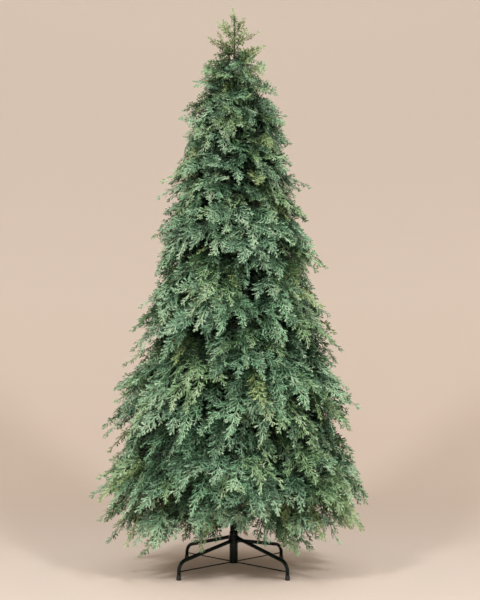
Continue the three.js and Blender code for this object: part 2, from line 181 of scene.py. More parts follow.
# Branchlets along a spray: lengths and counts of fingers, and where the next length begins
BRANCHLETS = ((0.024, 3), (0.036, 5), (0.049, 7))
BRANCHLET_STEPS = (0.03, 0.0425)
BRANCHLET_VARIANTS = 4
BRANCHLET_ANGLES, BRANCHLET_ANGLE_CHANCE, BRANCHLET_SIZES = (46, 32), 6, (0.82, 1.18)
BRANCHLET_REACH, BRANCHLET_LEAN, SPRAY_CURL = 0.022, 0.45, 0.3
PLUME_FOOT, PLUME_SWELL, PLUME_TAPER = 0.6, 1.4, 0.65
PLUME_END, PLUME_END_LEAST = 0.17, 0.014

# Ranks of branchlets: flat ones, and upper and under ones in turn, the upper lightened with painted light and
# the under darkened with painted shade. Pairs are for the broad and slim crown.
RANK_SPREADS, UNDER_PAINTED_SHADES = (22, 25), (-0.5, -0.42)
UPPER_TURN, UNDER_TURN, RAISED_PART, UPPER_PAINTED_LIGHT = 50, -42, 0.85, 0.16

# Tones along a plume, and the tones where the next zone of colour begins. A plume's base is darkened with
# painted shade and its end made paler, partly its own colour and partly painted light.
PLUME_PAINTED_LIGHT_AND_SHADE, RIB_LIGHTER, END_LIGHTER = 0.65, 0.15, 0.25
# The deep and base zones are painted shade, darker copies of each hue. The tip zone is the tips' paler
# colour, reached partly through painted light.
ZONES = ("deep", "base", "body", "tip")
ZONE_STEPS = (0.12, 0.42, 0.68)
# A branchlet's inner fingers are darkened with painted shade; its stalk and outer fingers are lighter, partly
# their paler tip colour and partly painted light
INNER_FINGERS_PAINTED_SHADE, OUTER_FINGERS_PALE_AND_PAINTED_LIGHT, FINGER_TONE_CHANCE = 0.06, 0.28, 0.06

# Fingers of a branchlet, their tines and the stalk: angles in degrees, ranges of chance, sizes in metres
FINGER_ANGLES, FINGER_ANGLE_CHANCE, FINGER_RAISES = (46, 34), 5, (-0.28, 0.34)
FINGER_TAPER, FINGER_SIZES, FINGER_FOLD = (1.15, 0.7), (0.88, 1.12), 0.0005
STALK_WIDTH, STALK_FOLD = 0.0034, 0.0006
TINE_AT, TINE_ANGLES, TINE_LENGTH, TINE_WIDTH, TINE_FOLD = 0.42, (34, 46), 0.6, 0.95, 0.0004

# Dark needles inside the crown, their near-black colour painted shade
NEEDLES_LOWEST, NEEDLES_TOPMOST = 0.26, 1.75
NEEDLES_SHARE, NEEDLES_INSET = 0.8, 0.075
TUFT_SHAPES, TUFT_SPACING, TUFT_LENGTH = 4, 0.017, 0.02
NEEDLE_LEANS, NEEDLE_SIZES, NEEDLE_FOLD = (0.35, 1.1), (0.75, 1.15), 0.0003

# Tape on boughs and stems: the pitch of its turns and the relief of its laps
BOUGH_WRAP, STEM_WRAP = (0.009, 0.14), (0.012, 0.16)
BOUGH_CORE = 0.97

FULL_TURN = 2 * math.pi
GOLDEN_TURN = 2.4
UP = np.array([0.0, 0.0, 1.0])


def lerp(low, high, share):
    return low + (high - low) * share


def unit(vector):
    return vector / np.linalg.norm(vector, axis=-1, keepdims=True)


def chance(*keys):
    """Seeded chance between 0 and 1 that depends only on its keys."""
    steps = (12.9898, 78.233, 37.719, 94.673)
    mixed = SEED + sum((key + 1) * step for key, step in zip(keys, steps))
    wave = math.sin(mixed) * 43758.5453
    return wave - math.floor(wave)


def between(low, high, *keys):
    return lerp(low, high, chance(*keys))


def around(radius, turn, height):
    return np.array([radius * math.cos(turn), radius * math.sin(turn), height])


def upright_course(turn, places):
    """A course in the upright plane at a turn, from radii and heights."""
    return np.array([around(radius, turn, height) for radius, height in places])


def bezier(corners, steps):
    """Places along a Bezier curve with two to four corners, at even shares."""
    share = np.linspace(0, 1, steps + 1)[:, None]
    places = [np.asarray(corner, float)[None, :] for corner in corners]
    while len(places) > 1:
        places = [lerp(first, second, share) for first, second in zip(places, places[1:])]
    return places[0]


def lengths_along(course):
    return np.concatenate([[0], np.cumsum(np.linalg.norm(np.diff(course, axis=0), axis=1))])


def crown_radius(height):
    """How far the crown reaches from the axis at a height."""
    if height < WIDEST_AT:
        below = (WIDEST_AT - height) / (WIDEST_AT - HEM_HEIGHT)
        return CROWN_RADIUS * (1 - HEM_TUCK * below**2)
    climbed = min((height - WIDEST_AT) / (TREE_HEIGHT - WIDEST_AT), 1)
    waist = WAIST_DEPTH * math.exp(-(((height - WAIST_AT) / WAIST_SPREAD) ** 2))
    return CROWN_RADIUS * (1 - climbed) ** CROWN_FULLNESS * (1 - waist)


def droop_angle(height):
    return lerp(LOWEST_DROOP, TOPMOST_DROOP, min(max(height / TREE_HEIGHT, 0), 1) ** 3)


def tier_floor(tier):
    return HEM_HEIGHT + tier * LOWEST_TIER_HEIGHT - tier * (tier - 1) / 2 * TIER_HEIGHT_STEP


def tier_boundary(tier, radius):
    """The slanting surface between a tier and the one below it, as a height at a radius."""
    if tier == 0:
        return HEM_HEIGHT
    floor = tier_floor(tier)
    return floor + math.tan(droop_angle(floor)) * (crown_radius(floor) - radius)


def height_in(tier, radius, share):
    return lerp(tier_boundary(tier, radius), tier_boundary(tier + 1, radius), share)


def pole_radius_at(height):
    return next(radius for radius, top in POLE_SECTIONS if height < top)


def climb(height):
    """How far a height is up the slimmer part of the crown, from 0 to 1."""
    return np.clip((height - SLIM_FROM) / SLIM_RISE, 0, 1)


class MassSpace:
    """The space of one mass: a sector of a tier between two slanting surfaces."""

    def __init__(self, tier, sector):
        self.tier = tier
        self.sector = sector
        self.width = FULL_TURN / TIER_MASSES[tier]
        self.turn = (sector + TIER_TWIST * tier) * self.width - math.pi / 2
        self.middle = crown_radius(lerp(tier_floor(tier), tier_floor(tier + 1), 0.5))
        self.foot = height_in(tier, 0, STEM_FOOT)
        self.inner_radius = BOUGH_REACH if tier == 0 else pole_radius_at(self.foot)
        self.core_near = self.inner_radius + CORE_INSET * self.middle
        standout = lerp(LOWEST_STANDOUT, TOPMOST_STANDOUT, tier / len(TIER_MASSES))
        self.core_far = self.middle - standout

    def core_place(self, outwards, sideways, upwards, depth):
        """A place in the mass's dense middle, from a direction out of it and a depth."""

        def swell(share):
            return depth * math.copysign(abs(share) ** CORE_FULLNESS, share)

        rise = 0.5 + CORE_HALF_HEIGHT * swell(upwards)
        taper = crown_radius(height_in(self.tier, self.middle, rise)) / self.middle
        radius = lerp(self.core_near, taper * self.core_far, 0.5 + 0.5 * swell(outwards))
        turn = self.turn + CORE_HALF_WIDTH * self.width * swell(sideways)
        return around(radius, turn, height_in(self.tier, radius, rise))

    def stem(self, steps):
        """Places along the mass's stem, which arches out from its bough's tip or the pole."""
        start_height = BOUGH_HEIGHT + BOUGH_RISE if self.tier == 0 else self.foot
        reach = STEM_REACH * self.middle
        corners = [
            (self.inner_radius + SEATING_GAP, start_height),
            (lerp(self.inner_radius, reach, 0.5), start_height),
            (reach, height_in(self.tier, reach, 0.5)),
        ]
        return upright_course(self.turn, bezier(corners, steps))

    def spray_place(self, row, column):
        """Root, tip and facing of one of the source's sprays."""
        columns = SPRAY_COLUMNS[self.tier]

        def draw(low, high, part):
            return between(low, high, self.tier, self.sector, row * columns + column, part)

        rise = lerp(ROW_LOW, ROW_HIGH, (row + draw(0.2, 0.8, 1)) / SPRAY_ROWS)
        stagger = 0.75 if row % 2 else 0.25
        aside = COLUMN_SPAN * ((column + stagger + draw(-0.2, 0.2, 2)) / columns - 0.5)
        height = lerp(tier_floor(self.tier), tier_floor(self.tier + 1), rise)
        in_hem = self.tier == 0 and row == 0
        reach = crown_radius(height) * (draw(0.85, 1, 3) if in_hem else draw(0.96, 1.02, 3))
        sideways = ROOT_SPREAD * aside
        upwards = min(ROOT_SPREAD * (rise - 0.5) + ROOT_LIFT, ROOT_HIGHEST)
        outwards = math.sqrt(1 - sideways**2 - upwards**2)
        tip = around(reach, self.turn + aside * self.width, height)
        root = self.core_place(outwards, sideways, upwards, ROOT_DEPTH)
        facing = around(1, self.turn + aside * self.width + draw(-0.6, 0.6, 4), 0.8)
        return root, tip, facing


def hem_place(tip, facing):
    """Tip and facing of a frond in the hem."""
    aside = math.atan2(tip[1], tip[0]) + math.pi / 2
    widened = 1 + HEM_SIDE_STANDOUT * math.sin(aside) ** 6
    lift = HEM_FRONT_LIFT * math.exp(-((aside / HEM_FRONT_SPREAD) ** 2)) - HEM_FALL
    tip = tip * (widened, widened, 1) + lift * UP
    return tip, around(1, math.atan2(facing[1], facing[0]), HEM_FACING)


def carrying(rib):
    """The part of a frond's rib that is bare twig."""
    return rib[:9:2]


class Foliage:
    """Everything that grows: the sprays, the twigs that carry them and the courses of dark needles."""

    def __init__(self, sizes):
        self.sizes = sizes
        self.chance = np.random.RandomState(SEED)
        self.sprays = []
        self.twigs = []
        self.tufts = []

    def draw(self, low, high):
        return lerp(low, high, self.chance.random_sample())

    def draw_tone(self):
        return self.draw(-TONE_CHANCE, TONE_CHANCE)

    def hue_at(self, height):
        """A hue for a spray. Yellower greens are commoner near the top."""
        pick = self.draw(0, 1)
        blue = lerp(*BLUE_GREEN_SHARES, height / TREE_HEIGHT)
        if pick < blue:
            return BLUE_GREEN
        return SAGE if pick < blue + SAGE_SHARE else LEAF_GREEN

    def add_spray(self, base, heading, normal, length, hang, hue, tone, pitch, breadth):
        """A spray, cut shorter where it would reach too far past the crown."""
        heading = unit(heading)
        end = base + heading * length
        height = min(max(end[2], HEM_HEIGHT), TREE_HEIGHT - 0.01)
        most = crown_radius(height) + np.interp(end[2], PAST_HEIGHTS, PAST_CROWN)
        reach = math.hypot(end[0], end[1])
        if reach > most:
            length *= max(SHORTEST_CUT, 1 - (reach - most) / length)
        self.sprays.append((base, heading, normal, length, hang, hue, tone, pitch, breadth))

    def frond(
        self, root, tip, facing, hue, tone, sag=0.0, hang=0.0, sides=0,
        pitch=FULL_PITCH, breadth=1.0, stray=False, drop=0.0,
    ):
        """A frond: a twig that arches over to its tip, with a spray at its end and sprays on its sides."""
        along = tip - root
        length = np.linalg.norm(along)
        axis = along / length
        across = unit(np.cross(facing, axis))
        normal = unit(np.cross(axis, across))
        shares = np.linspace(0, 1, RIB_STEPS + 1)
        rib = root + shares[:, None] * along
        rib = rib - (4 * sag * length * shares * (1 - shares))[:, None] * normal

        def at(share):
            """A place on the rib and its heading there."""
            place = share * RIB_STEPS
            low = min(int(place), RIB_STEPS - 1)
            return lerp(rib[low], rib[low + 1], place - low), unit(rib[low + 1] - rib[low])

        def faced(course):
            """A face that looks outwards and up, turned a little by chance."""
            return unit(facing) + self.chance.normal(0, FACE_CHANCE) * unit(np.cross(course, facing))

        longest = min(max(0.9 * length, self.sizes.spray_shortest), self.sizes.spray_longest)
        start, _ = at(max(1 - longest / length, 0.06))
        course = unit(tip - start)
        end_length = np.linalg.norm(tip - start)
        end_hang, end_breadth = hang, breadth
        climbed = climb(tip[2])
        if stray:
            outwards = unit(np.array([tip[0], tip[1], 0]))
            course = course + self.draw(0.3, 1) * lerp(*STRAY_LEVELS, climbed) * outwards
            end_length *= self.draw(*STRAY_LENGTHS)
            end_hang, end_breadth = 0.5 * hang, lerp(*STRAY_BREADTHS, climbed) * breadth
        else:
            course = course + (0.5 * hang - drop) * UP
            end_length *= self.draw(*HANGING_LENGTHS) * lerp(1, SLIM_LONGER, climbed)
        self.add_spray(start, course, faced(course), end_length, end_hang, hue, tone, pitch, end_breadth)
        first_side = 1 if self.draw(0, 1) < 0.5 else -1
        for i in range(sides):
            side = first_side * (-1) ** i
            base, heading = at(self.draw(*SIDE_STARTS))
            angle = math.radians(self.draw(*SIDE_ANGLES))
            turned = self.draw(-0.4, 0.4)
            sideways = side * math.cos(turned) * across + math.sin(turned) * normal
            course = unit(math.cos(angle) * heading + math.sin(angle) * sideways)
            side_length = longest * self.draw(*SIDE_LENGTHS)
            side_hue = hue if self.draw(0, 1) < SAME_HUE_SHARE else self.hue_at(tip[2])
            face = faced(course)
            side_tone = tone - SIDE_DARKER + self.draw_tone()
            self.add_spray(base, course, face, side_length, hang, side_hue, side_tone, SIDE_PITCH, breadth)
        return rib

    def branch_off(self, stem, tangents, root, rib):
        """A twig from the stem to a frond's root and on along its rib."""
        nearest = int(np.argmin(np.linalg.norm(stem - root, axis=1)))
        fork = max(FIRST_FORK, nearest - FORK_BACK)
        lead = np.linalg.norm(root - stem[fork])
        corners = [
            stem[fork],
            stem[fork] + unit(tangents[fork]) * FORK_LEAD * lead,
            root - (rib[1] - rib[0]) * ROOT_LEAD,
            root,
        ]
        twig = np.vstack([bezier(corners, LEAD_STEPS)[:-1], carrying(rib)])
        self.twigs.append((twig, *FROND_TWIG))
        self.tufts.append(bezier(corners, TWIG_STEPS))

    def add_inner_twig(self, corners):
        """A short twig with dark needles, inside the crown."""
        course = bezier(corners, TWIG_STEPS)
        self.twigs.append((course[::2], *INNER_TWIG))
        self.tufts.append(course)

    def frond_places(self, space):
        """Root, tip, facing and tone of a mass's fronds: the source's, finer ones between, inner ones."""
        in_top_tier = space.tier == len(TIER_MASSES) - 1
        finer_rises = FINER_RISES[:1] if in_top_tier else FINER_RISES
        # Inner fronds are darkened with painted shade, less so in the lowest tier
        inner_painted_shade_tone = INNER_PAINTED_SHADE_TONE if space.tier else LOWEST_INNER_PAINTED_SHADE_TONE
        places = []
        for column in range(SPRAY_COLUMNS[space.tier]):
            for row in range(SPRAY_ROWS):
                places.append((*space.spray_place(row, column), SOURCE_TONE))
            for rise in finer_rises:
                places.append((*self.finer_place(space, rise, column, FINER_REACHES), FINER_TONE))
            for rise in INNER_RISES:
                places.append((*self.finer_place(space, rise, column, INNER_REACHES), inner_painted_shade_tone))
        return places

    def finer_place(self, space, rise, column, reaches):
        """A frond between the source's places, sloping like its neighbours."""
        columns = SPRAY_COLUMNS[space.tier]
        rise = rise + self.draw(-0.06, 0.06)
        aside = (column + self.draw(0, 1)) / columns - 0.5
        height = lerp(tier_floor(space.tier), tier_floor(space.tier + 1), rise)
        reach = crown_radius(height) * self.draw(*reaches)
        turn = space.turn + aside * space.width
        tip = around(reach, turn, height)
        length = lerp(*FINER_LENGTHS, space.tier / (len(TIER_MASSES) - 1)) * self.draw(0.85, 1.15)
        slope = droop_angle(height) + math.radians(self.draw(6, 28))
        inwards = min(length * math.cos(slope), 0.85 * reach)
        root = around(reach - inwards, turn + self.draw(-0.12, 0.12), height + length * math.sin(slope))
        facing = around(1, turn + self.draw(-0.6, 0.6), 0.8)
        return root, tip, facing

    def crown_frond(self, root, tip, facing, tone):
        """A frond as the hem, the broad crown or the slim crown has it. Gives its rib."""
        in_hem = tip[2] < HEM_HEIGHT + HEM_DEPTH
        if in_hem:
            tip, facing = hem_place(tip, facing)
        inner = tone == INNER_PAINTED_SHADE_TONE
        sag = self.draw(*SAGS)
        climbed = climb(tip[2])
        facing = facing * (1, 1, lerp(1, SLIM_FACING, climbed))
        hang = HEM_HANG if in_hem else self.draw(lerp(*LEAST_HANGS, climbed), lerp(*MOST_HANGS, climbed))
        sides = 0 if inner else 2 if tip[2] < OPEN_TOP else 1
        pitch = SIDE_PITCH if in_hem else INNER_PITCH if inner else FULL_PITCH
        hue = self.hue_at(tip[2])
        # A random tone, and painted light on the slim crown
        tone = tone + self.draw_tone() + SLIM_PAINTED_LIGHT * climbed
        breadth = HEM_BREADTH if in_hem else lerp(*BREADTHS, climbed)
        stray = self.draw(0, 1) < (HEM_STRAY_SHARE if in_hem else lerp(*STRAY_SHARES, climbed))
        if stray and not in_hem:
            tone = tone - STRAY_DARKER
        if stray or in_hem:
            olive_share = HEM_OLIVE_SHARE if in_hem else STRAY_OLIVE_SHARE
            hue = OLIVE if self.draw(0, 1) < olive_share else hue
        if not stray and tip[2] > OPEN_TOP:
            tip = tip * (TOP_REACH, TOP_REACH, 1)
        drop = self.draw(*SLIM_DROPS) * climbed
        return self.frond(root, tip, facing, hue, tone, sag, hang, sides, pitch, breadth, stray, drop)

    def mass(self, space):
        stem = space.stem(STEM_STEPS)
        tangents = np.gradient(stem, axis=0)
        self.twigs.append((stem, *STEM_TWIG))
        for root, tip, facing, tone in self.frond_places(space):
            rib = self.crown_frond(root, tip, facing, tone)
            self.branch_off(stem, tangents, root, rib)
        for _ in range(INNER_TWIGS):
            direction = unit(self.chance.normal(size=3))
            place = space.core_place(*direction, self.draw(0.35, 0.95))
            fork = self.chance.randint(1, 20)
            self.add_inner_twig([stem[fork], stem[fork] + unit(tangents[fork]) * 0.03, place])
        self.tufts.append(stem[1:])
        if space.tier == 0:
            self.bough_twigs(space.turn)

    def bough_twigs(self, turn):
        """Short twigs and fronds that fill the middle of the crown round a lowest bough."""
        for _ in range(BOUGH_TWIGS):
            start = around(self.draw(0.4, 1) * BOUGH_REACH, turn, BOUGH_HEIGHT + BOUGH_RISE)
            end = around(self.draw(0.03, 0.17), turn + self.draw(-0.5, 0.5), self.draw(0.3, 0.76))
            middle = lerp(start, end, 0.5) + 0.03 * unit(self.chance.normal(size=3))
            self.add_inner_twig([start, middle, end])
        for _ in range(BOUGH_SPRAYS):
            root_radius, root_turn = self.draw(0.5, 1) * BOUGH_REACH, turn + self.draw(-0.3, 0.3)
            root = around(root_radius, root_turn, BOUGH_HEIGHT - self.draw(0, 0.08))
            aside = turn + self.draw(-0.5, 0.5)
            tip = around(self.draw(0.1, 0.24), aside, self.draw(0.18, 0.26))
            facing = around(1, aside + self.draw(-0.5, 0.5), 0.4)
            rib = self.frond(root, tip, facing, self.hue_at(tip[2]), BOUGH_TONE + self.draw_tone(), sag=0.02)
            self.twigs.append((carrying(rib), *FROND_TWIG))

    def leader(self):
        foot = POLE_SECTIONS[-1][1] + SEATING_GAP
        stem_top = TREE_HEIGHT - (1 - CREST_STEM_SHARE) * CREST_LENGTH
        lowest = tier_boundary(len(TIER_MASSES), 0) + MASS_GAP
        heights = [lerp(foot, stem_top, share) for share in np.linspace(0, 1, STEM_STEPS + 1)]
        self.twigs.append((upright_course(0, [(0, height) for height in heights]), *LEADER_STEM))
        for whorl in range(LEADER_WHORLS):
            climbed = whorl / LEADER_WHORLS
            drop = LEADER_DROP * (1 + LEADER_DROP_GROWTH * climbed)
            root = around(0, 0, lerp(lowest, stem_top, climbed) - drop)
            length = lerp(LEADER_LOWEST, LEADER_TOPMOST, climbed)
            lift = lerp(LEADER_LOWEST_LIFT, LEADER_LIFT_SHARE * LEADER_TOPMOST_LIFT, climbed)
            for spray in range(LEADER_SPRAYS):
                turn = (spray + 0.5 * whorl) * FULL_TURN / LEADER_SPRAYS
                tip = around(length * math.cos(lift), turn, length * math.sin(lift)) + root
                facing = around(1, turn + between(-0.5, 0.5, whorl, spray), 1.5)
                tip = root + LEADER_REACH * (tip - root)
                rib = self.frond(
                    root, tip, facing, OLIVE, LEADER_TONE, sag=0.02, sides=0 if whorl else 2,
                    pitch=LEADER_PITCH, breadth=LEADER_BREADTH,
                )
                self.twigs.append((carrying(rib), *LEADER_TWIG))
        for frond in range(COLLAR_FRONDS):
            turn = frond * FULL_TURN / COLLAR_FRONDS
            height = lowest + self.draw(-0.05, 0.0)
            tip = around(self.draw(0.05, 0.072), turn + self.draw(-0.3, 0.3), height - self.draw(0, 0.04))
            self.frond(
                around(0.006, turn, height), tip, around(1, turn, 0.6), self.hue_at(height), COLLAR_TONE,
                hang=COLLAR_HANG, sides=1, pitch=COLLAR_PITCH, breadth=LEADER_BREADTH,
            )
        for sprig in range(SPRIGS):
            root = around(0, 0, lerp(lowest, stem_top, sprig / SPRIGS))
            course = around(1, GOLDEN_TURN * sprig, self.draw(0.5, 1.1))
            length = self.draw(0.025, 0.04)
            self.add_spray(root, course, UP, length, 0, OLIVE, SPRIG_TONE, LEADER_PITCH, SPRIG_BREADTH)
        self.add_spray(
            around(0, 0, TREE_HEIGHT - CREST_LENGTH), UP, around(1, CREST_FACING, 0),
            CREST_LENGTH * CREST_GROWTH, 0, OLIVE, CREST_TONE, LEADER_PITCH, CREST_BREADTH,
        )

    def grow(self):
        for tier, count in enumerate(TIER_MASSES):
            for sector in range(count):
                self.mass(MassSpace(tier, sector))
        self.leader()
        return self


def squared(vectors, axes):
    """Unit vectors square to the given axes."""
    return unit(vectors - axes * np.sum(vectors * axes, axis=1, keepdims=True))


def branchlet_places(sprays, sizes, chance_of):
    """Where the branchlets and the lengths of rib sit along every spray.

    Gives place, heading, normal, length, tone, hue and whether it is rib."""
    base, heading, normal, length, hang, hue, tone, pitch, breadth = (np.array(part) for part in zip(*sprays))
    count = len(length)
    nodes = np.maximum((length / pitch).astype(int), 4)
    place = base.copy()
    normal = squared(normal, heading)
    curl = chance_of.uniform(-SPRAY_CURL, SPRAY_CURL, count) / nodes
    climbed = climb(base[:, 2])
    spread = lerp(*RANK_SPREADS, climbed)
    # Painted shade for the under rank, which lies beneath the flat ones
    under_painted_shade = lerp(*UNDER_PAINTED_SHADES, climbed)
    pace = (length / (nodes + 1))[:, None]
    leaf, rib = np.zeros(count), np.ones(count)
    rows = []

    def add(on, *parts):
        rows.append([part[on] for part in (*parts, hue)])

    for step in range(nodes.max()):
        on = step < nodes
        share = np.minimum((step + 0.5) / nodes, 1)
        heading = unit(heading - (hang / nodes)[:, None] * UP + curl[:, None] * np.cross(normal, heading))
        normal = squared(normal, heading)
        side = np.cross(normal, heading)
        # Darker towards a plume's base with painted shade, paler towards its end, partly its own colour and
        # partly painted light
        tone_here = tone + PLUME_PAINTED_LIGHT_AND_SHADE * (share - 0.5)
        if step % 2 == 0:
            add(on, place, heading, normal, 2.5 * pace[:, 0], tone_here + RIB_LIGHTER, rib)
        profile = np.minimum(PLUME_FOOT + PLUME_SWELL * share, 1) * (1 - PLUME_TAPER * share**2)
        reach = (BRANCHLET_REACH + sizes.spray_width * length) * profile * breadth
        raised_hand = (-1) ** (step // 2)
        # The upper rank takes painted light and the under rank painted shade
        raised_rank = (UPPER_TURN, UPPER_PAINTED_LIGHT) if step % 2 else (UNDER_TURN, under_painted_shade)
        ranks = ((1, 1.0, 0, 0.0), (-1, 1.0, 0, 0.0), (raised_hand, RAISED_PART, *raised_rank))
        for hand, part, turn, lighter in ranks:
            turned = chance_of.uniform(-BRANCHLET_ANGLE_CHANCE, BRANCHLET_ANGLE_CHANCE, count)
            angle = np.radians(lerp(*BRANCHLET_ANGLES, share) + turned)[:, None]
            raised = np.radians(turn + spread * chance_of.uniform(-1, 1, count))[:, None]
            outwards = np.cos(raised) * hand * side + np.sin(raised) * normal
            course = unit(np.cos(angle) * heading + np.sin(angle) * outwards)
            face = normal + 0.5 * (np.cos(raised) * normal - np.sin(raised) * hand * side)
            lean = chance_of.uniform(-BRANCHLET_LEAN, BRANCHLET_LEAN, count)[:, None]
            face = squared(face + lean * side, course)
            start = place + heading * pace * chance_of.uniform(0, 1, count)[:, None]
            size = reach * part * chance_of.uniform(*BRANCHLET_SIZES, count)
            add(on, start, course, face, size, tone_here + lighter, leaf)
        place = place + np.where(on, 1, 0)[:, None] * heading * pace
    everywhere = np.ones(count, bool)
    end_size = np.maximum(PLUME_END * length, PLUME_END_LEAST) * breadth
    for face in (normal, np.cross(normal, heading)):
        # The end branchlets are paler, partly their own colour and partly painted light
        add(everywhere, place, heading, face, end_size, tone + END_LIGHTER, leaf)
    columns = [np.concatenate(part) for part in zip(*rows)]
    return (*columns[:5], columns[6], columns[5] > 0)


def quaternions(heading, normal):
    """Turns that carry X onto the heading and Z onto the normal, as w, x, y, z."""
    side = np.cross(normal, heading)
    basis = np.stack([heading, side, normal], axis=2)
    diagonal = basis[:, [0, 1, 2], [0, 1, 2]]
    signs = np.array([[1, 1, 1], [1, -1, -1], [-1, 1, -1], [-1, -1, 1]])
    turn = np.sqrt(np.maximum(1 + diagonal @ signs.T, 0) / 4)
    for axis, (row, column) in enumerate(((2, 1), (0, 2), (1, 0)), start=1):
        turn[:, axis] = np.copysign(turn[:, axis], basis[:, row, column] - basis[:, column, row])
    near_half_turn = np.sum(diagonal, axis=1) < -0.9
    for i in np.flatnonzero(near_half_turn):
        turn[i] = Matrix(basis[i].tolist()).to_quaternion()
    return turn


def linked(name, mesh):
    """An object at the origin for a mesh."""
    piece = bpy.data.objects.new(name, mesh)
    bpy.context.scene.collection.objects.link(piece)
    return piece


def mesh_object(name, corners, faces, material):
    mesh = bpy.data.meshes.new(name)
    mesh.from_pydata([tuple(corner) for corner in corners], [], [tuple(face) for face in faces])
    mesh.validate()
    mesh.update()
    mesh.shade_smooth()
    mesh.materials.append(material)
    return linked(name, mesh)


# Finishes with a grain: slot, colours and roughness that the grain runs between, and its relief
STEEL, RUBBER, TAPE = "green_powder_coat", "foot_cap_rubber", "wrapping_tape"
FINISHES = {
    STEEL: dict(
        slot="green_steel", color=(0.004, 0.010, 0.009), roughness=0.28, specular=0.16, scale=900,
        colors=((0.003, 0.008, 0.007), (0.005, 0.012, 0.010)), roughnesses=(0.2, 0.3),
        bump=0.12, height=0.0004,
    ),
    RUBBER: dict(
        slot="black_rubber", color=(0.012, 0.012, 0.013), roughness=0.7, specular=0.5, scale=700,
        colors=((0.009, 0.009, 0.010), (0.018, 0.018, 0.018)), roughnesses=(0.6, 0.82),
        bump=0.2, height=0.0004,
    ),
    TAPE: dict(
        slot="wrapped_wire", color=(0.03, 0.045, 0.022), roughness=0.8, specular=0.5, scale=260,
        colors=((0.024, 0.036, 0.018), (0.046, 0.058, 0.03)), roughnesses=(0.7, 0.9),
        bump=0.25, height=0.0006,
    ),
}
GRAIN_EDGES, GRAIN_DETAIL = (0.35, 0.68), 4
SPRAY_ROUGHNESS, SPRAY_SPECULAR, NEEDLE_ROUGHNESS = 0.52, 0.35, 0.6
# The backdrop's colours at shares of its reach, with light and shade painted in: paler round the tree's foot,
# lifting its shadow, a little deeper where the floor bends up, against the lamps' light there, paler up the
# wall, which the lamps light less
BACKDROP_COLOR, BACKDROP_ROUGHNESS, BACKDROP_SPECULAR = (0.75, 0.65, 0.57), 0.9, 0.1
BACKDROP_REACH = 12.5
BACKDROP_PAINTED_LIGHT_AND_SHADE = (
    (0.024, (0.78, 0.665, 0.575)),
    (0.05, (0.66, 0.575, 0.505)),
    (0.1, (0.62, 0.535, 0.465)),
    (0.15, (0.61, 0.515, 0.44)),
    (0.26, (0.66, 0.56, 0.48)),
    (0.45, (0.735, 0.64, 0.56)),
    (1.0, (0.805, 0.71, 0.625)),
)


def shade(name, color, roughness, specular=0.5):
    material = bpy.data.materials.new(name)
    material.use_nodes = True
    shader = material.node_tree.nodes["Principled BSDF"]
    shader.inputs["Base Color"].default_value = (*color[:3], 1)
    shader.inputs["Roughness"].default_value = roughness
    shader.inputs["Specular IOR Level"].default_value = specular
    return material


def add_node(tree, kind, **values):
    node = tree.nodes.new(kind)
    for socket, value in values.items():
        node.inputs[socket.replace("_", " ")].default_value = value
    return node


def link(tree, *pairs):
    """Links, each given as a node, its output, the next node and its input."""
    for source, output, target, socket in pairs:
        tree.links.new(source.outputs[output], target.inputs[socket])


def fill_ramp(ramp, stops):
    elements = ramp.color_ramp.elements
    while len(elements) < len(stops):
        elements.new(0.5)
    for element, (position, color) in zip(elements, stops):
        element.position = position
        element.color = (*color, 1)


def grained(name):
    """A finish with fine mottling in its colour, roughness and relief, on Object coordinates."""
    material = bpy.data.materials.get(name)
    if material is not None:
        return material
    look = FINISHES[name]
    material = shade(name, look["color"], look["roughness"], look["specular"])
    tree = material.node_tree
    shader = tree.nodes["Principled BSDF"]
    where = add_node(tree, "ShaderNodeTexCoord")
    noise = add_node(tree, "ShaderNodeTexNoise", Scale=look["scale"], Detail=GRAIN_DETAIL)
    ramp = add_node(tree, "ShaderNodeValToRGB")
    fill_ramp(ramp, tuple(zip(GRAIN_EDGES, look["colors"])))
    low, high = look["roughnesses"]
    span = add_node(tree, "ShaderNodeMapRange", To_Min=low, To_Max=high)
    relief = add_node(tree, "ShaderNodeBump", Strength=look["bump"], Distance=look["height"])
    link(
        tree,
        (where, "Object", noise, "Vector"),
        (noise, "Fac", ramp, "Fac"),
        (ramp, "Color", shader, "Base Color"),
        (noise, "Fac", span, "Value"),
        (span, "Result", shader, "Roughness"),
        (noise, "Fac", relief, "Height"),
        (relief, "Normal", shader, "Normal"),
    )
    return material


def backdrop_paper():
    """Pale paper, with light and shade painted in by its distance from the tree's foot."""
    material = shade("pale_backdrop", BACKDROP_COLOR, BACKDROP_ROUGHNESS, BACKDROP_SPECULAR)
    tree = material.node_tree
    where = add_node(tree, "ShaderNodeTexCoord")
    distance = add_node(tree, "ShaderNodeVectorMath")
    distance.operation = "LENGTH"
    span = add_node(tree, "ShaderNodeMapRange", From_Max=BACKDROP_REACH)
    ramp = add_node(tree, "ShaderNodeValToRGB")
    # Painted light and shade on the paper
    fill_ramp(ramp, BACKDROP_PAINTED_LIGHT_AND_SHADE)
    link(
        tree,
        (where, "Object", distance, 0),
        (distance, "Value", span, "Value"),
        (span, "Result", ramp, "Fac"),
        (ramp, "Color", tree.nodes["Principled BSDF"], "Base Color"),
    )
    return material


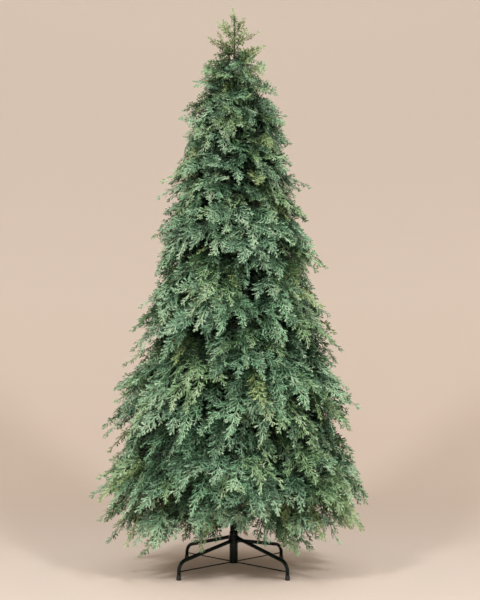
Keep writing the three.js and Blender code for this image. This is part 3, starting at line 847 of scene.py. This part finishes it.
class ShapeMaker:
    """Corners and triangles of one small repeated shape."""

    def __init__(self):
        self.corners = []
        self.faces = []

    def blade(self, base, heading, normal, length, width, fold):
        """A flat pointed finger, folded a little along its middle."""
        heading = unit(np.asarray(heading, float))
        side = unit(np.cross(normal, heading))
        up = np.cross(heading, side)
        first = len(self.corners)
        middle = base + 0.4 * length * heading - fold * up
        edge = 0.5 * width * side
        self.corners += [base, middle - edge, base + length * heading, middle + edge]
        self.faces += [(first, first + 1, first + 2), (first, first + 2, first + 3)]

    def mesh(self, name):
        mesh = bpy.data.meshes.new(name)
        mesh.from_pydata([tuple(corner) for corner in self.corners], [], self.faces)
        mesh.update()
        return mesh


def bearing(angle, rise):
    """A heading in the branchlet's own plane, raised a little out of it."""
    return np.array([math.cos(angle), math.sin(angle), rise])


def branchlet_shapes(sizes, chance_of, length, count):
    """A branchlet in two shades: its inner fingers, which take painted shade, and its stalk with its outer
    fingers, which are paler, partly with painted light.
    """
    inner, outer = ShapeMaker(), ShapeMaker()
    outer.blade(np.zeros(3), bearing(0, 0), UP, length, STALK_WIDTH, STALK_FOLD)
    for i in range(count):
        share = lerp(0.2, 1, (i + 0.6 + chance_of.uniform(-0.2, 0.2)) / (count + 0.4))
        half = inner if i < count / 2 else outer
        hand = 1 if i % 2 else -1
        turned = chance_of.uniform(-FINGER_ANGLE_CHANCE, FINGER_ANGLE_CHANCE)
        angle = hand * math.radians(lerp(*FINGER_ANGLES, share) + turned)
        rise = chance_of.uniform(*FINGER_RAISES)
        reach = sizes.finger_length * lerp(*FINGER_TAPER, share) * chance_of.uniform(*FINGER_SIZES)
        base = np.array([(share - 0.05) * length, 0, 0])
        heading = unit(bearing(angle, rise))
        face = unit(np.array([0, chance_of.uniform(-0.5, 0.5), 1.0]))
        half.blade(base, heading, face, reach, sizes.finger_width, FINGER_FOLD)
        if i % 4 in (1, 2):
            fork = base + TINE_AT * reach * heading
            tine_angle = angle - hand * math.radians(chance_of.uniform(*TINE_ANGLES))
            tine = bearing(tine_angle, rise + chance_of.uniform(-0.2, 0.2))
            half.blade(fork, tine, face, TINE_LENGTH * reach, TINE_WIDTH * sizes.finger_width, TINE_FOLD)
    return inner, outer


def rib_shape():
    """A closed length of a spray's rib, one metre long and pointed, to be sized where it is set."""
    shape = ShapeMaker()
    shape.corners = [(0, 0, 0.045), (1, 0, 0), (0.42, 0.065, -0.055), (0.42, -0.065, -0.055)]
    shape.faces = [(0, 1, 2), (0, 3, 1), (0, 2, 3), (1, 3, 2)]
    return shape


def tuft_shape(sizes, chance_of):
    """A ring of plain dark needles round a length of twig."""
    shape = ShapeMaker()
    for i in range(sizes.tuft_needles):
        turn = i * GOLDEN_TURN + chance_of.uniform(-0.3, 0.3)
        lean = chance_of.uniform(*NEEDLE_LEANS)
        heading = np.array([lean, math.cos(turn), math.sin(turn)])
        base = np.array([TUFT_LENGTH * i / sizes.tuft_needles, 0, 0])
        normal = np.array([1.0, 0.3 * math.sin(turn), -0.3 * math.cos(turn)])
        length = sizes.needle_length * chance_of.uniform(*NEEDLE_SIZES)
        shape.blade(base, heading, normal, length, sizes.needle_width, NEEDLE_FOLD)
    return shape


def setting_tree(name):
    """Geometry Nodes that set one of several shapes on every point, turned and sized by the point."""
    tree = bpy.data.node_groups.new(name, "GeometryNodeTree")
    for label, kind in (("Places", "Geometry"), ("Shapes", "Collection"), ("Finish", "Material")):
        tree.interface.new_socket(label, in_out="INPUT", socket_type="NodeSocket" + kind)
    tree.interface.new_socket("Set", in_out="OUTPUT", socket_type="NodeSocketGeometry")
    given = add_node(tree, "NodeGroupInput")
    shapes = add_node(tree, "GeometryNodeCollectionInfo", Separate_Children=True, Reset_Children=True)
    setting = add_node(tree, "GeometryNodeInstanceOnPoints", Pick_Instance=True)
    realize = add_node(tree, "GeometryNodeRealizeInstances")
    finish = add_node(tree, "GeometryNodeSetMaterial")
    result = add_node(tree, "NodeGroupOutput")
    for kind, label, socket in (
        ("INT", "shape", "Instance Index"),
        ("QUATERNION", "turn", "Rotation"),
        ("FLOAT", "size", "Scale"),
    ):
        attribute = add_node(tree, "GeometryNodeInputNamedAttribute", Name=label)
        attribute.data_type = kind
        link(tree, (attribute, "Attribute", setting, socket))
    link(
        tree,
        (given, "Shapes", shapes, "Collection"),
        (given, "Places", setting, "Points"),
        (shapes, "Instances", setting, "Instance"),
        (setting, "Instances", realize, "Geometry"),
        (realize, "Geometry", finish, "Geometry"),
        (given, "Finish", finish, "Material"),
        (finish, "Geometry", result, "Set"),
    )
    return tree


def shape_collection(name, meshes):
    collection = bpy.data.collections.new(name)
    for mesh in meshes:
        collection.objects.link(bpy.data.objects.new(mesh.name, mesh))
    return collection


def set_shapes(name, tree, collection, places, turns, sizes_of, shapes, material):
    """A plain mesh of all the shapes set on their places."""
    points = bpy.data.meshes.new(name + "_places")
    points.vertices.add(len(places))
    points.vertices.foreach_set("co", np.asarray(places, np.float32).ravel())
    settings = (("QUATERNION", "turn", turns), ("FLOAT", "size", sizes_of), ("INT", "shape", shapes))
    for kind, label, values in settings:
        attribute = points.attributes.new(label, kind, "POINT")
        dtype = np.int32 if kind == "INT" else np.float32
        attribute.data.foreach_set("value", np.asarray(values, dtype).ravel())
    points.update()
    carrier = linked(name + "_carrier", points)
    modifier = carrier.modifiers.new("Setting", "NODES")
    modifier.node_group = tree
    inputs = {item.name: item.identifier for item in tree.interface.items_tree if item.in_out == "INPUT"}
    modifier[inputs["Shapes"]] = collection
    modifier[inputs["Finish"]] = material
    graph = bpy.context.evaluated_depsgraph_get()
    mesh = bpy.data.meshes.new_from_object(carrier.evaluated_get(graph))
    bpy.data.objects.remove(carrier)
    bpy.data.meshes.remove(points)
    for _, label, _ in settings:
        attribute = mesh.attributes.get(label)
        if attribute is not None:
            mesh.attributes.remove(attribute)
    mesh.name = name
    return linked(name, mesh)


def tube(course, radii, sides, relief=None):
    """Corners and faces of a closed limb along a course, with an optional relief of its skin."""
    tangents = unit(np.gradient(course, axis=0))
    guide = UP if abs(tangents[0][2]) < 0.9 else np.array([1.0, 0.0, 0.0])
    across = unit(np.cross(tangents[0], guide))
    corners = []
    turns = np.arange(sides) * FULL_TURN / sides
    for step, (place, tangent) in enumerate(zip(course, tangents)):
        across = unit(across - tangent * np.dot(across, tangent))
        up = np.cross(tangent, across)
        for turn in turns:
            radius = radii[step] * (relief(step, turn) if relief else 1)
            corners.append(place + radius * (math.cos(turn) * across + math.sin(turn) * up))
    faces = []
    for ring in range(len(course) - 1):
        for side in range(sides):
            following = (side + 1) % sides
            low, high = ring * sides, (ring + 1) * sides
            faces.append((low + side, low + following, high + following, high + side))
    faces.append(tuple(range(sides))[::-1])
    last = (len(course) - 1) * sides
    faces.append(tuple(last + side for side in range(sides)))
    return corners, faces


def joined(parts):
    """Corners and faces of several parts as one list."""
    corners, faces = [], []
    for part_corners, part_faces in parts:
        first = len(corners)
        corners += list(part_corners)
        faces += [tuple(first + corner for corner in face) for face in part_faces]
    return corners, faces


def lathe(profile, segments, center=(0, 0)):
    """A turned piece about an upright axis. A profile that starts and ends on the axis is closed."""
    corners, faces, rings = [], [], []
    for radius, height in profile:
        count = segments if radius else 1
        rings.append([len(corners) + i for i in range(count)])
        for i in range(count):
            turn = i * FULL_TURN / segments
            corners.append((center[0] + radius * math.cos(turn), center[1] + radius * math.sin(turn), height))
    for low, high in zip(rings, rings[1:]):
        for i in range(segments):
            following = (i + 1) % segments
            if len(low) == 1:
                faces.append((low[0], high[following], high[i]))
            elif len(high) == 1:
                faces.append((low[i], low[following], high[0]))
            else:
                faces.append((low[i], low[following], high[following], high[i]))
    return corners, faces


def wrap_relief(course, pitch, depth):
    """The lapped edges of a tape wound along a limb."""
    lengths = lengths_along(course)

    def relief(step, turn):
        lap = (lengths[step] / pitch + turn / FULL_TURN) % 1
        return 1 + depth * (lap - 0.5)

    return relief


def length_of(name, description, default, least, most):
    return FloatProperty(
        name=name, description=description, default=default, min=least, max=most, unit="LENGTH"
    )


def share_of(name, description, default):
    return FloatProperty(name=name, description=description, default=default, min=0, max=1, subtype="FACTOR")


def colour_of(name, description, default):
    return FloatVectorProperty(
        name=name, description=description, default=default, size=3, min=0, max=1, subtype="COLOR"
    )


class CypressSizes(bpy.types.PropertyGroup):
    """Sizes of the foliage"""

    spray_shortest: length_of(
        "Shortest spray", "Least length of the spray at a frond's end", 0.085, 0.02, 0.2
    )
    spray_longest: length_of("Longest spray", "Greatest length of the spray at a frond's end", 0.2, 0.02, 0.3)
    spray_width: share_of("Spray width", "How much longer the branchlets of a longer spray are", 0.12)
    finger_length: length_of("Finger length", "Length of the fingers on a branchlet", 0.0175, 0.002, 0.05)
    finger_width: length_of("Finger width", "Width of the fingers on a branchlet", 0.004, 0.0005, 0.02)
    needle_length: length_of("Needle length", "Length of the dark needles inside the crown", 0.05, 0.01, 0.1)
    needle_width: length_of("Needle width", "Width of the dark needles inside the crown", 0.0048, 0.001, 0.01)
    tuft_needles: IntProperty(
        name="Needles in a tuft", description="Needles in one ring round a twig", default=9, min=4, max=40
    )


class CypressColours(bpy.types.PropertyGroup):
    """Colours of the foliage"""

    blue_green: colour_of("Blue-green", "Body colour of the bluest sprays", (0.158, 0.31, 0.188))
    sage: colour_of("Sage", "Body colour of the middling sprays", (0.174, 0.352, 0.2))
    leaf_green: colour_of("Leaf green", "Body colour of the yellower sprays", (0.2, 0.35, 0.165))
    olive: colour_of("Olive", "Body colour of the yellowest sprays and the leader", (0.262, 0.37, 0.142))
    tip_tint: colour_of("Tip tint", "Colour that the plumes' tips lean to", (0.5, 0.62, 0.43))
    tip_share: share_of("Tip share", "How far the tips lean to their tint", 0.5)
    # Base depth and inner shade paint shade onto a plume: darker copies of its hue for its base and its
    # deepest part
    base_painted_shade: share_of("Base depth", "How dark a plume's base is against its body", 0.5)
    inner_shade: colour_of(
        "Inner shade", "Share of its colour that a plume's deepest part keeps", (0.12, 0.2, 0.14)
    )
    # The needles' near-black colour is painted shade of the crown's inside
    needles: colour_of("Needles", "Colour of the dark needles inside the crown", (0.007, 0.026, 0.009))


class CypressPiece(bpy.types.Operator):
    """Base of the operators that make a piece"""

    bl_options = {"REGISTER", "UNDO"}

    @staticmethod
    def place(piece, slot, *nodes):
        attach(piece, BODY)
        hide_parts(*nodes)

    def make(self, name, shape, finish, *nodes):
        """A piece with a grained finish, from its corners and faces."""
        piece = mesh_object(name, *shape, grained(finish))
        self.place(piece, FINISHES[finish]["slot"], *nodes)


class CYPRESS_OT_pole(CypressPiece):
    """Makes the stepped steel pole"""

    bl_idname = "cypress.pole"
    bl_label = "Pole"

    def execute(self, context):
        lowest = POLE_SECTIONS[0][0]
        foot = [(0, 0), (lowest - POLE_CHAMFER, 0), (lowest, POLE_CHAMFER)]
        profile = [(radius, SOCKET_SEAT + above) for radius, above in foot]
        inner_radii = [radius for radius, _ in POLE_SECTIONS[1:]] + [0]
        for (radius, top), inner in zip(POLE_SECTIONS, inner_radii):
            profile += [(radius - inset, top - below) for inset, below in POLE_SECTION_TOP]
            profile.append((inner, top))
        self.make("trunk_pole_tube", lathe(profile, POLE_SEGMENTS), STEEL, "trunk_pole")
        return {"FINISHED"}


class CYPRESS_OT_boughs(CypressPiece):
    """Makes the lowest boughs, wound with tape"""

    bl_idname = "cypress.boughs"
    bl_label = "Boughs"

    def execute(self, context):
        corners = [
            (POLE_SECTIONS[0][0] + SEATING_GAP, BOUGH_HEIGHT),
            (0.5 * BOUGH_REACH, BOUGH_HEIGHT),
            (0.6 * BOUGH_REACH, BOUGH_HEIGHT + BOUGH_RISE),
            (BOUGH_REACH, BOUGH_HEIGHT + BOUGH_RISE),
        ]
        parts = []
        for sector in range(TIER_MASSES[0]):
            course = upright_course(MassSpace(0, sector).turn, bezier(corners, BOUGH_STEPS))
            radii = np.linspace(BOUGH_START_RADIUS, BOUGH_END_RADIUS, len(course))
            parts.append(tube(course, radii * BOUGH_CORE, BOUGH_SIDES, wrap_relief(course, *BOUGH_WRAP)))
        self.make("boughs_taped", joined(parts), TAPE, *BOUGH_NODES)
        return {"FINISHED"}


class CYPRESS_OT_foliage(CypressPiece):
    """Grows the stems, twigs, needles and sprays of every mass and the leader"""

    bl_idname = "cypress.foliage"
    bl_label = "Foliage"

    def execute(self, context):
        sizes = context.scene.cypress_sizes
        colours = context.scene.cypress_colours
        foliage = Foliage(sizes).grow()
        self.add_twigs(foliage)
        tree = setting_tree("Set shapes on places")
        self.add_needles(foliage, sizes, colours, tree)
        self.add_sprays(foliage, sizes, colours, tree)
        return {"FINISHED"}

    def add_twigs(self, foliage):
        stems, twigs = [], []
        for course, start, end, sides, wound in foliage.twigs:
            radii = np.linspace(start, end, len(course))
            if wound:
                stems.append(tube(course, radii, sides, wrap_relief(course, *STEM_WRAP)))
            else:
                twigs.append(tube(course, radii, sides))
        for name, parts in (("stems_taped", stems), ("twigs_taped", twigs)):
            self.make(name, joined(parts), TAPE, *FOLIAGE_NODES)

    def add_needles(self, foliage, sizes, colours, tree):
        chance_of = np.random.RandomState(SEED + 1)
        shapes = [tuft_shape(sizes, chance_of).mesh(f"tuft_{i}") for i in range(TUFT_SHAPES)]
        collection = shape_collection("Tufts", shapes)
        places, headings = [], []
        for course in foliage.tufts:
            lengths = lengths_along(course)
            count = max(1, int(lengths[-1] / TUFT_SPACING))
            marks = (np.arange(count) + 0.5) / count * lengths[-1]
            place, heading = (
                np.stack([np.interp(marks, lengths, values[:, i]) for i in range(3)], axis=1)
                for values in (course, np.gradient(course, axis=0))
            )
            places.append(place)
            headings.append(unit(heading))
        places, headings = np.concatenate(places), np.concatenate(headings)
        heights = places[:, 2]
        crown = np.array([crown_radius(min(height, TREE_HEIGHT - 0.01)) for height in heights])
        farthest = np.minimum(NEEDLES_SHARE * crown, crown - NEEDLES_INSET)
        kept = np.hypot(places[:, 0], places[:, 1]) < farthest
        kept &= (heights > NEEDLES_LOWEST) & (heights < NEEDLES_TOPMOST)
        places, headings = places[kept], headings[kept]
        normal = np.cross(headings, unit(chance_of.normal(size=headings.shape)))
        turns = quaternions(headings, unit(normal))
        size_of = chance_of.uniform(0.8, 1.2, len(places))
        kinds = chance_of.randint(0, len(shapes), len(places))
        # Near-black needles: painted shade inside the crown
        finish = shade("needle_green", colours.needles, NEEDLE_ROUGHNESS)
        piece = set_shapes("needles_inner", tree, collection, places, turns, size_of, kinds, finish)
        self.place(piece, "foliage", *FOLIAGE_NODES)

    def add_sprays(self, foliage, sizes, colours, tree):
        chance_of = np.random.RandomState(SEED + 2)
        meshes = []
        for length, count in BRANCHLETS:
            for _ in range(BRANCHLET_VARIANTS):
                for half in branchlet_shapes(sizes, chance_of, length, count):
                    meshes.append(half.mesh(f"shape_{len(meshes):02d}"))
        rib_index = len(meshes)
        meshes.append(rib_shape().mesh(f"shape_{rib_index:02d}"))
        collection = shape_collection("Branchlets", meshes)
        place, heading, normal, size, tone, hue, is_rib = branchlet_places(foliage.sprays, sizes, chance_of)
        turns = quaternions(heading, normal)
        kind = np.digitize(size, BRANCHLET_STEPS)
        first = 2 * (BRANCHLET_VARIANTS * kind + chance_of.randint(0, BRANCHLET_VARIANTS, len(place)))
        lengths = np.array([length for length, _ in BRANCHLETS])
        scale = size / np.where(is_rib, 1, lengths[kind])
        tone = tone + chance_of.uniform(-FINGER_TONE_CHANCE, FINGER_TONE_CHANCE, len(tone))
        leafy = ~is_rib
        shape = np.concatenate([np.where(is_rib, rib_index, first), first[leafy] + 1])
        # Inner fingers darkened with painted shade, outer fingers lightened partly with painted light
        tones = np.concatenate([tone - INNER_FINGERS_PAINTED_SHADE, tone[leafy] + OUTER_FINGERS_PALE_AND_PAINTED_LIGHT])
        zone = np.digitize(tones, ZONE_STEPS)
        place, turns, scale, hue = (
            np.concatenate([part, part[leafy]]) for part in (place, turns, scale, hue)
        )
        for i, hue_name in enumerate(HUES):
            body = np.array(getattr(colours, hue_name))
            tip = lerp(body, np.array(colours.tip_tint), colours.tip_share)
            # The deep and base tints are painted shade, darker copies of the hue; the tip tint is the tips'
            # paler colour
            tints = (body * np.array(colours.inner_shade), body * colours.base_painted_shade, body, tip)
            for j, zone_name in enumerate(ZONES):
                chosen = (hue == i) & (zone == j)
                name = f"sprays_{hue_name}_{zone_name}"
                finish = shade(name, tints[j], SPRAY_ROUGHNESS, SPRAY_SPECULAR)
                points = (part[chosen] for part in (place, turns, scale, shape))
                piece = set_shapes(name, tree, collection, *points, finish)
                self.place(piece, "foliage", *FOLIAGE_NODES)


def corner_turn(i):
    """Where a leg stands round the pole."""
    return (2 * i - 3) * math.pi / 4


class CYPRESS_OT_stand(CypressPiece):
    """Makes the stand's socket, collars, legs and braces"""

    bl_idname = "cypress.stand"
    bl_label = "Stand"

    def leg_course(self, hub_height):
        """Radii and heights along a leg, from its collar straight down and round the bend to its foot."""
        centre = FOOT_RADIUS - LEG_BEND
        hub = COLLAR_RADIUS + 0.25 * LEG_RADIUS + SEATING_GAP
        away = math.hypot(centre - hub, hub_height - LEG_BEND_HEIGHT)
        slope = math.atan2(hub_height - LEG_BEND_HEIGHT, centre - hub) - math.asin(LEG_BEND / away)
        turns = np.linspace(math.pi / 2 - slope, 0, LEG_BEND_PLACES)
        bend = [(centre + LEG_BEND * math.cos(t), LEG_BEND_HEIGHT + LEG_BEND * math.sin(t)) for t in turns]
        straight = bezier([(hub, hub_height), bend[0]], LEG_STEPS)[:-1]
        return [*straight, *bend, (FOOT_RADIUS, FOOT_HEIGHT + SEATING_GAP)]

    def execute(self, context):
        edge = ROUNDED_EDGE
        bore = POLE_SECTIONS[0][0] + SEATING_GAP
        seat = SOCKET_SEAT - SEATING_GAP
        outer, bottom, top = SOCKET_RADIUS, SOCKET_BOTTOM, SOCKET_TOP
        socket = [
            (0, bottom), (outer - 0.002, bottom), (outer - edge, bottom + 0.0004), (outer, bottom + 0.0018),
            (outer, top - edge), (outer - 0.4 * edge, top), (bore + 0.4 * edge, top), (bore, top - edge),
            (bore, seat), (0, seat),
        ]
        self.make("stand_socket_tube", lathe(socket, SOCKET_SEGMENTS), STEEL, "stand_socket")
        bore, outer = SOCKET_RADIUS + SEATING_GAP, COLLAR_RADIUS
        for name, middle in (("lower", COLLAR_LOWER_AT), ("upper", COLLAR_UPPER_AT)):
            low, high = middle - COLLAR_HEIGHT / 2, middle + COLLAR_HEIGHT / 2
            ring = [
                (bore, low + edge), (bore + edge, low), (outer - edge, low), (outer, low + edge),
                (outer, high - edge), (outer - edge, high), (bore + edge, high), (bore, high - edge),
                (bore, low + edge),
            ]
            node = f"stand_collar_{name}"
            self.make(node + "_ring", lathe(ring, SOCKET_SEGMENTS), STEEL, node)
        brace_ends = (SOCKET_RADIUS + SEATING_GAP, FOOT_RADIUS - LEG_RADIUS - SEATING_GAP)
        brace = [(radius, BRACE_HEIGHT) for radius in np.linspace(*brace_ends, BRACE_PLACES)]
        for i, corner in enumerate(CORNERS):
            leg = self.leg_course(COLLAR_UPPER_AT if i % 2 else COLLAR_LOWER_AT)
            for node, kind, places, radius, sides in (
                (f"stand_leg_{corner}", "tube", leg, LEG_RADIUS, LEG_SIDES),
                (f"stand_brace_{corner}", "rod", brace, BRACE_RADIUS, BRACE_SIDES),
            ):
                course = upright_course(corner_turn(i), places)
                shape = tube(course, np.full(len(course), radius), sides)
                self.make(f"{node}_{kind}", shape, STEEL, node)
        return {"FINISHED"}


class CYPRESS_OT_feet(CypressPiece):
    """Makes the ribbed rubber caps under the legs"""

    bl_idname = "cypress.feet"
    bl_label = "Feet"

    def execute(self, context):
        for i, corner in enumerate(CORNERS):
            center = around(FOOT_RADIUS, corner_turn(i), 0)[:2]
            node = f"stand_foot_{corner}"
            self.make(node + "_cap", lathe(FOOT_PROFILE, FOOT_SEGMENTS, center), RUBBER, node)
        return {"FINISHED"}


# The stage: a floor that bends up far off, lamps with place, target, size and power, and the camera
FLOOR_LEVEL, FLOOR_FLAT, FLOOR_END = -0.0002, 1.2, 11.5
FLOOR_BEND, FLOOR_BEND_HEIGHT, FLOOR_RINGS, FLOOR_SEGMENTS = 8.3, 7.6, 48, 96
SOFT_LIGHT, SOFT_LIGHT_COLOR = 0.88, (1, 0.97, 0.94, 1)
LAMPS = (
    ("key", (-2.2, -3.4, 3.2), (0, 0, 1.7), 0.6, 110),
    ("fill", (2.2, -3.4, 3.2), (0, 0, 1.7), 0.6, 116),
    ("low", (0, -3.9, 0.6), (0, 0, 1.0), 1.6, 40),
)
CAMERA_PLACE, CAMERA_TILT = (0.0217, -2.507, 0.483), 10.135
LENS, SENSOR_HEIGHT = 42, 36


class CYPRESS_OT_stage(bpy.types.Operator):
    """Makes the floor, the lights and the camera"""

    bl_idname = "cypress.stage"
    bl_label = "Stage"

    def execute(self, context):
        scene = context.scene
        scene.view_settings.view_transform = "Standard"
        profile = [(0, FLOOR_LEVEL)]
        for radius in np.linspace(FLOOR_FLAT, FLOOR_END, FLOOR_RINGS):
            bend = FLOOR_BEND_HEIGHT * ((radius - FLOOR_FLAT) / FLOOR_BEND) ** 2
            profile.append((radius, bend + FLOOR_LEVEL))
        corners, faces = lathe(profile, FLOOR_SEGMENTS)
        floor = mesh_object("floor", corners, [face[::-1] for face in faces], backdrop_paper())
        world = bpy.data.worlds.new("Soft light")
        world.use_nodes = True
        background = world.node_tree.nodes["Background"]
        background.inputs["Color"].default_value = SOFT_LIGHT_COLOR
        background.inputs["Strength"].default_value = SOFT_LIGHT
        scene.world = world
        for name, place, target, size, power in LAMPS:
            light = bpy.data.lights.new(name, "AREA")
            light.energy = power
            light.size = size
            lamp = linked(name, light)
            lamp.location = place
            lamp.rotation_euler = (Vector(target) - Vector(place)).to_track_quat("-Z", "Y").to_euler()
        lens = bpy.data.cameras.new("camera")
        lens.sensor_fit = "VERTICAL"
        lens.sensor_height = SENSOR_HEIGHT
        lens.lens = LENS
        camera = linked("camera", lens)
        camera.location = CAMERA_PLACE
        camera.rotation_euler = (math.radians(90 + CAMERA_TILT), 0, 0)
        scene.camera = camera
        return {"FINISHED"}


class CYPRESS_PT_panel(bpy.types.Panel):
    """Lists the tree's pieces and what can be changed on them"""

    bl_idname = "CYPRESS_PT_panel"
    bl_label = "Cypress Tree"
    bl_space_type = "VIEW_3D"
    bl_region_type = "UI"
    bl_category = "Cypress"

    def draw(self, context):
        for group in (context.scene.cypress_sizes, context.scene.cypress_colours):
            for name in group.bl_rna.properties.keys():
                if name not in ("rna_type", "name"):
                    self.layout.prop(group, name)
        for operator in OPERATORS:
            self.layout.operator(operator.bl_idname)


OPERATORS = (
    CYPRESS_OT_stage,
    CYPRESS_OT_pole,
    CYPRESS_OT_boughs,
    CYPRESS_OT_foliage,
    CYPRESS_OT_stand,
    CYPRESS_OT_feet,
)
CLASSES = (CypressSizes, CypressColours, *OPERATORS, CYPRESS_PT_panel)


def register():
    for cls in CLASSES:
        bpy.utils.register_class(cls)
    bpy.types.Scene.cypress_sizes = PointerProperty(type=CypressSizes)
    bpy.types.Scene.cypress_colours = PointerProperty(type=CypressColours)


def unregister():
    del bpy.types.Scene.cypress_colours
    del bpy.types.Scene.cypress_sizes
    for cls in reversed(CLASSES):
        bpy.utils.unregister_class(cls)


def main():
    register()
    bpy.ops.cypress.stage()
    bpy.ops.cypress.pole()
    bpy.ops.cypress.boughs()
    bpy.ops.cypress.foliage()
    bpy.ops.cypress.stand()
    bpy.ops.cypress.feet()


if __name__ == "__main__":
    main()
